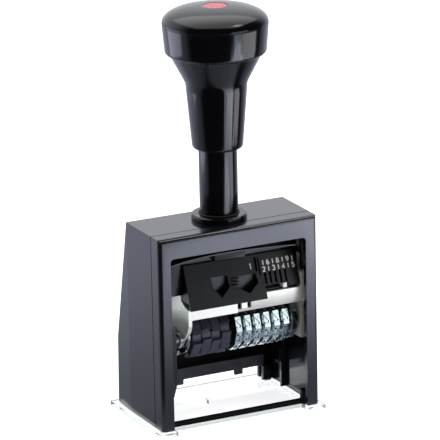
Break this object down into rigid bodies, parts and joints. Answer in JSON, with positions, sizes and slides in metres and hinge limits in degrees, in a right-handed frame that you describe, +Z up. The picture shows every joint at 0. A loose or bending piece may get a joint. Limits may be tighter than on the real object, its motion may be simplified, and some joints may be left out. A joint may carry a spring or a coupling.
{
  "type": "numbering machine",
  "caption": "Hand numbering machine: a sprung knob presses a steel stirrup whose wheel head turns over from the ink pad to the paper.",
  "frame": {"origin": "middle of the base plate's underside, under the middle of the whole object's bounding box", "axes": "+Z up along the plunger, +X along the wheels' axle, -Y out of the open front window"},
  "size_m": [0.0686, 0.0462, 0.1565],
  "materials": {
    "casing_plastic": "glossy, slightly worn",
    "frame_plastic": "satin",
    "grip_plastic": "satin gloss",
    "clear_plastic": "clear",
    "wheel_plastic": "satin",
    "white_plastic": "satin",
    "red_plastic": "satin",
    "stirrup_steel": "bright, nickel plated",
    "wheel_metal": "bright plated",
    "axle_steel": "turned",
    "spring_steel": "drawn",
    "ink_felt": "soaked with dark ink",
    "rubber_seal": "matte"
  },
  "bodies": {
    "casing": {"rear_shell": "casing_plastic", "front_bezel": "casing_plastic", "rear_rail": "frame_plastic", "base_plate": "clear_plastic", "base_screws": "axle_steel", "shaft_collar": "grip_plastic", "wiper_ring": "rubber_seal", "cartridge_frame": "frame_plastic", "ink_cartridge": "frame_plastic", "ink_pad": "ink_felt", "scale_plate": "frame_plastic", "cam_plate": "frame_plastic", "return_spring": "spring_steel"},
    "carriage": {"plunger_shaft": "grip_plastic", "spring_cap": "axle_steel", "handle_grip": "grip_plastic", "handle_cap": "grip_plastic", "handle_disc": "red_plastic", "stirrup": "stirrup_steel"},
    "head": {"axle": "axle_steel", "left_cheek": "axle_steel", "right_cheek": "axle_steel", "rear_rod": "axle_steel", "detent_comb": "spring_steel", "wheel_spacer": "frame_plastic", "drive_ratchet": "wheel_metal", "crank_arm": "axle_steel", "cam_roller": "white_plastic", "axle_clip": "spring_steel"},
    "feed_pawl": {"feed_pawl": "axle_steel"},
    "selector": {"selector_peg": "white_plastic"},
    "number_wheel_1": {"number_wheel_1": "wheel_metal"},
    "number_wheel_2": {"number_wheel_2": "wheel_metal"},
    "number_wheel_3": {"number_wheel_3": "wheel_metal"},
    "number_wheel_4": {"number_wheel_4": "wheel_metal"},
    "number_wheel_5": {"number_wheel_5": "wheel_metal"},
    "number_wheel_6": {"number_wheel_6": "wheel_metal"},
    "date_wheel_1": {"date_wheel_1": "wheel_plastic"},
    "date_wheel_2": {"date_wheel_2": "wheel_plastic"},
    "date_wheel_3": {"date_wheel_3": "wheel_plastic"},
    "date_wheel_4": {"date_wheel_4": "wheel_plastic"}
  },
  "joints": [
    {"name": "plunger_slide", "type": "slide", "parent": "casing", "child": "carriage", "axis": [0, 0, -1], "range_m": [0, 0.02405], "stiffness_N_per_m": 600, "springref_m": -0.02, "deforming": ["return_spring"]},
    {"name": "head_flip", "type": "hinge", "parent": "carriage", "child": "head", "pos_m": [0, -0.0035, 0.03325], "axis": [1, 0, 0], "range_deg": [0, 180]},
    {"name": "pawl_swing", "type": "hinge", "parent": "head", "child": "feed_pawl", "pos_m": [0, 0.0078, 0.03325], "axis": [1, 0, 0], "range_deg": [0, 4]},
    {"name": "selector_slide", "type": "slide", "parent": "casing", "child": "selector", "axis": [1, 0, 0], "range_m": [-0.0072, 0]},
    {"name": "number_wheel_1_spin", "type": "hinge", "parent": "head", "child": "number_wheel_1", "pos_m": [0, -0.0035, 0.03325], "axis": [1, 0, 0], "continuous": true},
    {"name": "number_wheel_2_spin", "type": "hinge", "parent": "head", "child": "number_wheel_2", "pos_m": [0, -0.0035, 0.03325], "axis": [1, 0, 0], "continuous": true},
    {"name": "number_wheel_3_spin", "type": "hinge", "parent": "head", "child": "number_wheel_3", "pos_m": [0, -0.0035, 0.03325], "axis": [1, 0, 0], "continuous": true},
    {"name": "number_wheel_4_spin", "type": "hinge", "parent": "head", "child": "number_wheel_4", "pos_m": [0, -0.0035, 0.03325], "axis": [1, 0, 0], "continuous": true},
    {"name": "number_wheel_5_spin", "type": "hinge", "parent": "head", "child": "number_wheel_5", "pos_m": [0, -0.0035, 0.03325], "axis": [1, 0, 0], "continuous": true},
    {"name": "number_wheel_6_spin", "type": "hinge", "parent": "head", "child": "number_wheel_6", "pos_m": [0, -0.0035, 0.03325], "axis": [1, 0, 0], "continuous": true},
    {"name": "date_wheel_1_spin", "type": "hinge", "parent": "head", "child": "date_wheel_1", "pos_m": [0, -0.0035, 0.03325], "axis": [1, 0, 0], "continuous": true},
    {"name": "date_wheel_2_spin", "type": "hinge", "parent": "head", "child": "date_wheel_2", "pos_m": [0, -0.0035, 0.03325], "axis": [1, 0, 0], "continuous": true},
    {"name": "date_wheel_3_spin", "type": "hinge", "parent": "head", "child": "date_wheel_3", "pos_m": [0, -0.0035, 0.03325], "axis": [1, 0, 0], "continuous": true},
    {"name": "date_wheel_4_spin", "type": "hinge", "parent": "head", "child": "date_wheel_4", "pos_m": [0, -0.0035, 0.03325], "axis": [1, 0, 0], "continuous": true}
  ],
  "couplings": [
    {"joint": "head_flip", "follows": "plunger_slide", "rad_per_m": 130.63},
    {"joint": "pawl_swing", "follows": "plunger_slide", "rad_per_m": 2.9026}
  ]
}
